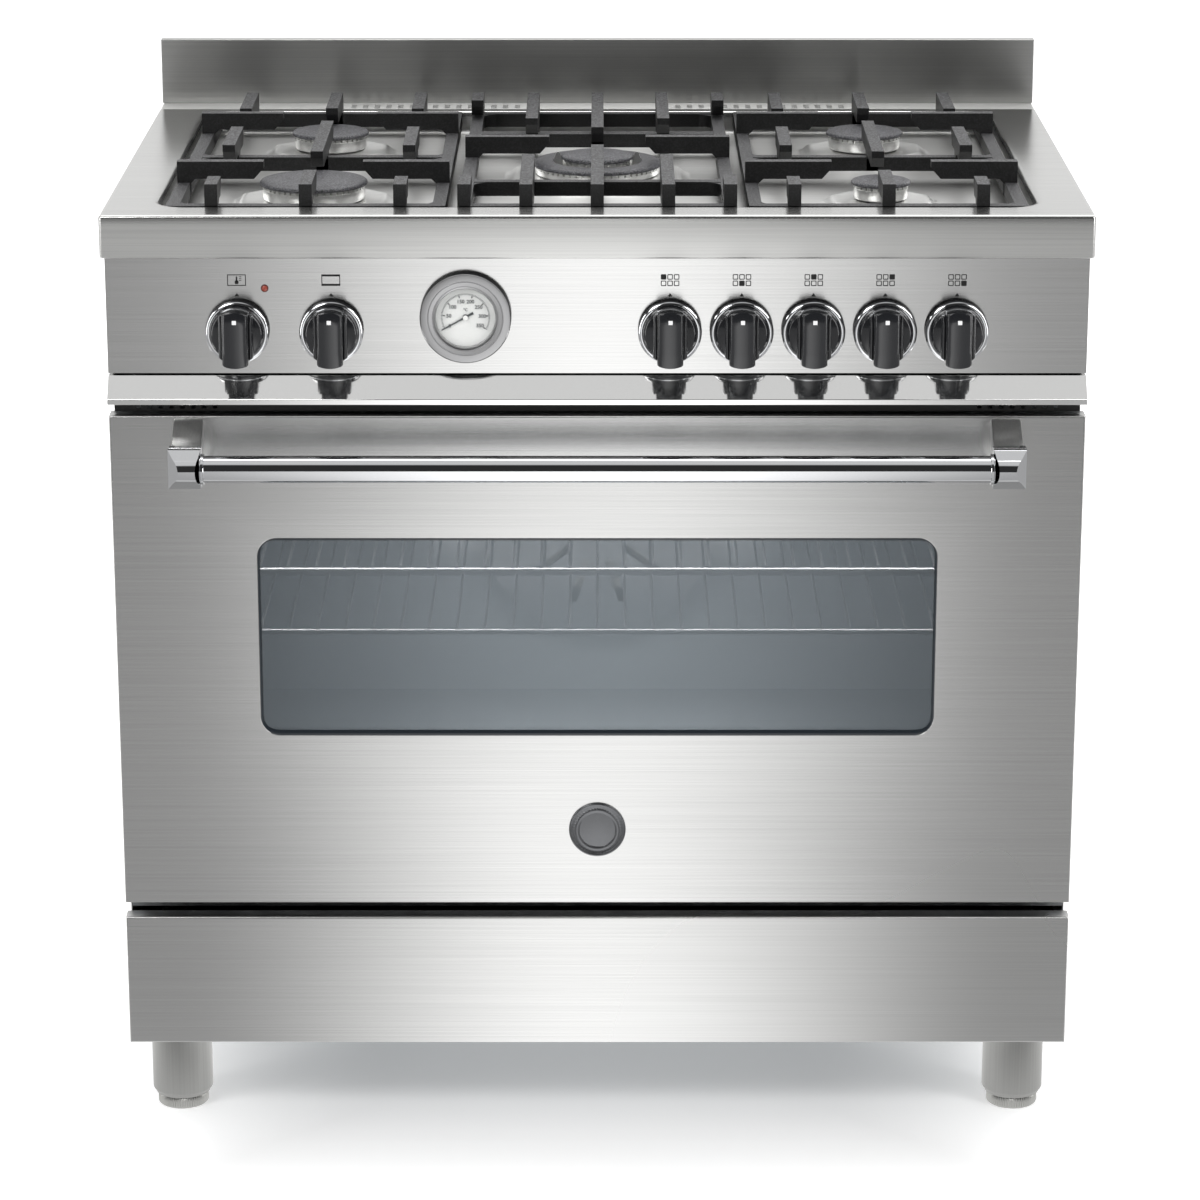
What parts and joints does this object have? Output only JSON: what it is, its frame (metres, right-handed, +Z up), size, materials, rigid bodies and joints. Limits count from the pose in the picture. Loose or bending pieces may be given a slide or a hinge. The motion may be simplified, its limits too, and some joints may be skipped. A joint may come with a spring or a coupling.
{
  "type": "freestanding gas range",
  "caption": "Stainless freestanding gas range with a sunken hob, cast-iron grates, wok burner, windowed electric oven, tube handle, storage drawer and round legs.",
  "frame": {"origin": "on the floor under the middle of the whole outline", "axes": "+Z up, the oven door faces -Y, +X to the right of a person who faces the door's inside and to the right in the front view"},
  "size_m": [0.9, 0.681, 0.951],
  "materials": {
    "brushed_sheet": "brushed along X, satin",
    "brushed_side": "brushed, satin",
    "galvanised": "galvanised sheet, dull spangle",
    "polished": "mirror chrome",
    "grate_iron": "matt black enamelled cast iron",
    "cap_enamel": "matt black enamel",
    "flame_aluminium": "cast, lightly blasted",
    "oven_enamel": "gloss dark vitreous enamel",
    "mineral_wool": "compressed mineral wool",
    "seal_rope": "woven glass rope",
    "wire_chrome": "bright chromed wire",
    "element_sheath": "heat-tinted sheath",
    "window_glass": "tinted toughened glass",
    "clear_glass": "clear glass",
    "dial_paint": "matt white dial",
    "needle_paint": "matt black",
    "neon_red": "translucent red",
    "knob_black": "semi-gloss black",
    "trim_black": "satin black",
    "zinc_steel": "zinc plated",
    "valve_brass": "machined brass",
    "switch_plastic": "moulded"
  },
  "bodies": {
    "cabinet": {"base_pan": "galvanised", "side_panel_left": "brushed_side", "side_panel_right": "brushed_side", "front_frame": "galvanised", "rear_cover": "galvanised", "leg_tubes": "brushed_sheet", "oven_liner": "oven_enamel", "insulation": "mineral_wool", "door_seal": "seal_rope", "rack_guides": "wire_chrome", "grill_element": "element_sheath", "fan_guard": "oven_enamel", "fan_motor": "zinc_steel", "control_panel": "brushed_sheet", "trim_ledge": "polished", "vent_trim": "trim_black", "gas_valves": "valve_brass", "oven_switches": "switch_plastic", "gas_manifold": "zinc_steel", "gauge_bezel": "polished", "gauge_dial": "dial_paint", "gauge_glass": "clear_glass", "neon_lens": "neon_red", "hob_top": "brushed_sheet", "backsplash": "brushed_side", "burner_cups": "zinc_steel", "flame_rings": "flame_aluminium", "burner_caps": "cap_enamel"},
    "door": {"door_skin": "brushed_sheet", "door_inner_panel": "oven_enamel", "door_glass_outer": "window_glass", "door_glass_inner": "clear_glass", "handle_tube": "polished", "handle_brackets": "polished", "hinge_pins": "zinc_steel"},
    "drawer": {"drawer_front": "brushed_sheet", "drawer_box": "galvanised"},
    "rack_lower": {"oven_rack_lower": "wire_chrome"},
    "rack_upper": {"oven_rack_upper": "wire_chrome"},
    "fan": {"convection_fan": "galvanised"},
    "needle": {"gauge_needle": "needle_paint"},
    "grate_left": {"grate_left": "grate_iron"},
    "grate_right": {"grate_right": "grate_iron"},
    "grate_centre": {"grate_centre": "grate_iron"},
    "oven_mode_knob": {"knob_oven_mode": "knob_black"},
    "oven_heat_knob": {"knob_oven_heat": "knob_black"},
    "foot_front_left": {"foot_front_left": "zinc_steel"},
    "foot_front_right": {"foot_front_right": "zinc_steel"},
    "foot_rear_left": {"foot_rear_left": "zinc_steel"},
    "foot_rear_right": {"foot_rear_right": "zinc_steel"},
    "stem_rear_left": {"stem_rear_left": "zinc_steel"},
    "knob_rear_left": {"knob_burner_rear_left": "knob_black"},
    "stem_front_left": {"stem_front_left": "zinc_steel"},
    "knob_front_left": {"knob_burner_front_left": "knob_black"},
    "stem_wok": {"stem_wok": "zinc_steel"},
    "knob_wok": {"knob_burner_wok": "knob_black"},
    "stem_rear_right": {"stem_rear_right": "zinc_steel"},
    "knob_rear_right": {"knob_burner_rear_right": "knob_black"},
    "stem_front_right": {"stem_front_right": "zinc_steel"},
    "knob_front_right": {"knob_burner_front_right": "knob_black"}
  },
  "joints": [
    {"name": "door_hinge", "type": "hinge", "parent": "cabinet", "child": "door", "pos_m": [0, -0.2415, 0.244], "axis": [1, 0, 0], "range_deg": [0, 90], "stiffness_Nm_per_rad": 8, "springref_deg": -28.65},
    {"name": "drawer_slide", "type": "slide", "parent": "cabinet", "child": "drawer", "axis": [0, -1, 0], "range_m": [0, 0.34]},
    {"name": "grate_centre_lift", "type": "slide", "parent": "cabinet", "child": "grate_centre", "axis": [0, 0, 1], "range_m": [0, 0.12]},
    {"name": "grate_left_lift", "type": "slide", "parent": "cabinet", "child": "grate_left", "axis": [0, 0, 1], "range_m": [0, 0.12]},
    {"name": "grate_right_lift", "type": "slide", "parent": "cabinet", "child": "grate_right", "axis": [0, 0, 1], "range_m": [0, 0.12]},
    {"name": "knob_oven_heat_turn", "type": "hinge", "parent": "cabinet", "child": "oven_heat_knob", "pos_m": [-0.2414, -0.2545, 0.778], "axis": [0, 1, 0], "range_deg": [0, 300]},
    {"name": "knob_oven_mode_turn", "type": "hinge", "parent": "cabinet", "child": "oven_mode_knob", "pos_m": [-0.3268, -0.2545, 0.778], "axis": [0, 1, 0], "range_deg": [0, 324]},
    {"name": "oven_fan_spin", "type": "hinge", "parent": "cabinet", "child": "fan", "pos_m": [0, 0.2, 0.47], "axis": [0, 1, 0], "continuous": true},
    {"name": "oven_gauge_needle", "type": "hinge", "parent": "cabinet", "child": "needle", "pos_m": [-0.1195, -0.258, 0.791], "axis": [0, 1, 0], "range_deg": [0, 239]},
    {"name": "rack_lower_slide", "type": "slide", "parent": "cabinet", "child": "rack_lower", "axis": [0, -1, 0], "range_m": [0, 0.018]},
    {"name": "rack_upper_slide", "type": "slide", "parent": "cabinet", "child": "rack_upper", "axis": [0, -1, 0], "range_m": [0, 0.018]},
    {"name": "stem_rear_left_push", "type": "slide", "parent": "cabinet", "child": "stem_rear_left", "axis": [0, 1, 0], "range_m": [0, 0.004], "stiffness_N_per_m": 600},
    {"name": "knob_rear_left_turn", "type": "hinge", "parent": "stem_rear_left", "child": "knob_rear_left", "pos_m": [0.066, -0.2545, 0.778], "axis": [0, -1, 0], "range_deg": [0, 210]},
    {"name": "stem_front_left_push", "type": "slide", "parent": "cabinet", "child": "stem_front_left", "axis": [0, 1, 0], "range_m": [0, 0.004], "stiffness_N_per_m": 600},
    {"name": "knob_front_left_turn", "type": "hinge", "parent": "stem_front_left", "child": "knob_front_left", "pos_m": [0.1311, -0.2545, 0.778], "axis": [0, -1, 0], "range_deg": [0, 210]},
    {"name": "stem_wok_push", "type": "slide", "parent": "cabinet", "child": "stem_wok", "axis": [0, 1, 0], "range_m": [0, 0.004], "stiffness_N_per_m": 600},
    {"name": "knob_wok_turn", "type": "hinge", "parent": "stem_wok", "child": "knob_wok", "pos_m": [0.1962, -0.2545, 0.778], "axis": [0, -1, 0], "range_deg": [0, 210]},
    {"name": "stem_rear_right_push", "type": "slide", "parent": "cabinet", "child": "stem_rear_right", "axis": [0, 1, 0], "range_m": [0, 0.004], "stiffness_N_per_m": 600},
    {"name": "knob_rear_right_turn", "type": "hinge", "parent": "stem_rear_right", "child": "knob_rear_right", "pos_m": [0.2613, -0.2545, 0.778], "axis": [0, -1, 0], "range_deg": [0, 210]},
    {"name": "stem_front_right_push", "type": "slide", "parent": "cabinet", "child": "stem_front_right", "axis": [0, 1, 0], "range_m": [0, 0.004], "stiffness_N_per_m": 600},
    {"name": "knob_front_right_turn", "type": "hinge", "parent": "stem_front_right", "child": "knob_front_right", "pos_m": [0.3264, -0.2545, 0.778], "axis": [0, -1, 0], "range_deg": [0, 210]},
    {"name": "screw_foot_front_left", "type": "slide", "parent": "cabinet", "child": "foot_front_left", "axis": [0, 0, -1], "range_m": [0, 0.04]},
    {"name": "screw_foot_front_right", "type": "slide", "parent": "cabinet", "child": "foot_front_right", "axis": [0, 0, -1], "range_m": [0, 0.04]},
    {"name": "screw_foot_rear_left", "type": "slide", "parent": "cabinet", "child": "foot_rear_left", "axis": [0, 0, -1], "range_m": [0, 0.04]},
    {"name": "screw_foot_rear_right", "type": "slide", "parent": "cabinet", "child": "foot_rear_right", "axis": [0, 0, -1], "range_m": [0, 0.04]}
  ]
}
